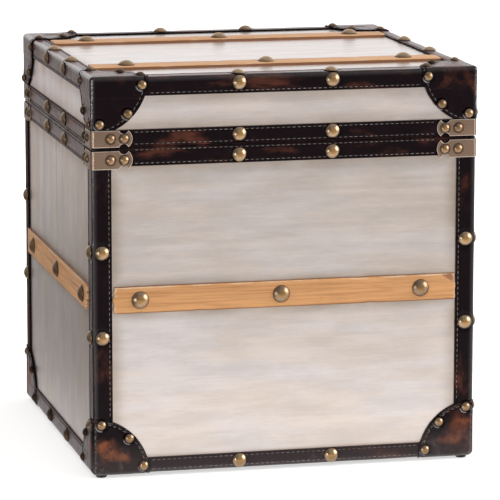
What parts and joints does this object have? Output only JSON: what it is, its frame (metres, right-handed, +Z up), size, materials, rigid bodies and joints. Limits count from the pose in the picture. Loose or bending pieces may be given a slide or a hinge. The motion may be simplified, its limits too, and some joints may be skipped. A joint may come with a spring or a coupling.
{
  "type": "trunk",
  "caption": "Small square storage trunk: wooden box clad in brushed metal, leather edge bindings, wood slats, domed nails and a lid that lifts on back hinges.",
  "frame": {"origin": "on the floor, under the middle of the trunk", "axes": "+Z up, the front faces -Y, the hinges are at +Y"},
  "size_m": [0.4684, 0.4554, 0.4716],
  "materials": {
    "carcass_wood": "raw",
    "brushed_sheet": "brushed",
    "lining_cloth": "woven",
    "nail_brass": "antique",
    "dark_leather": "polished and rubbed",
    "clip_metal": "antique",
    "slat_wood": "worn",
    "glide_black": "matt",
    "hinge_brass": "antique"
  },
  "bodies": {
    "chest": {"bottom_board": "carcass_wood", "front_board": "carcass_wood", "back_board": "carcass_wood", "left_board": "carcass_wood", "right_board": "carcass_wood", "front_sheet": "brushed_sheet", "back_sheet": "brushed_sheet", "left_sheet": "brushed_sheet", "right_sheet": "brushed_sheet", "chest_lining": "lining_cloth", "edge_binding_front_left": "dark_leather", "edge_binding_front_right": "dark_leather", "edge_binding_back_left": "dark_leather", "edge_binding_back_right": "dark_leather", "bottom_binding_front": "dark_leather", "bottom_binding_back": "dark_leather", "bottom_binding_left": "dark_leather", "bottom_binding_right": "dark_leather", "chest_rim_binding": "dark_leather", "bottom_cover_front_left": "dark_leather", "bottom_cover_front_right": "dark_leather", "bottom_cover_back_left": "dark_leather", "bottom_cover_back_right": "dark_leather", "chest_corner_clips": "clip_metal", "slat_front": "slat_wood", "slat_back": "slat_wood", "slat_left": "slat_wood", "slat_right": "slat_wood", "chest_binding_nails": "nail_brass", "chest_slat_nails": "nail_brass", "chest_small_nails": "nail_brass", "glides": "glide_black", "hinge_chest_leaves": "hinge_brass", "hinge_pins": "hinge_brass", "hinge_screws_chest": "hinge_brass"},
    "lid": {"lid_top_board": "carcass_wood", "lid_front_rail": "carcass_wood", "lid_back_rail": "carcass_wood", "lid_left_rail": "carcass_wood", "lid_right_rail": "carcass_wood", "lid_top_sheet": "brushed_sheet", "lid_side_sheets": "brushed_sheet", "lid_lining": "lining_cloth", "lid_binding_front": "dark_leather", "lid_binding_back": "dark_leather", "lid_binding_left": "dark_leather", "lid_binding_right": "dark_leather", "lid_rim_binding": "dark_leather", "lid_cover_front_left": "dark_leather", "lid_cover_front_right": "dark_leather", "lid_cover_back_left": "dark_leather", "lid_cover_back_right": "dark_leather", "lid_corner_clips": "clip_metal", "lid_slat_front": "slat_wood", "lid_slat_back": "slat_wood", "lid_binding_nails": "nail_brass", "lid_slat_nails": "nail_brass", "lid_small_nails": "nail_brass", "hinge_lid_leaves": "hinge_brass", "hinge_screws_lid": "hinge_brass"}
  },
  "joints": [
    {"name": "lid_hinge", "type": "hinge", "parent": "chest", "child": "lid", "pos_m": [0, 0.2237, 0.3844], "axis": [-1, 0, 0], "range_deg": [0, 100]}
  ]
}
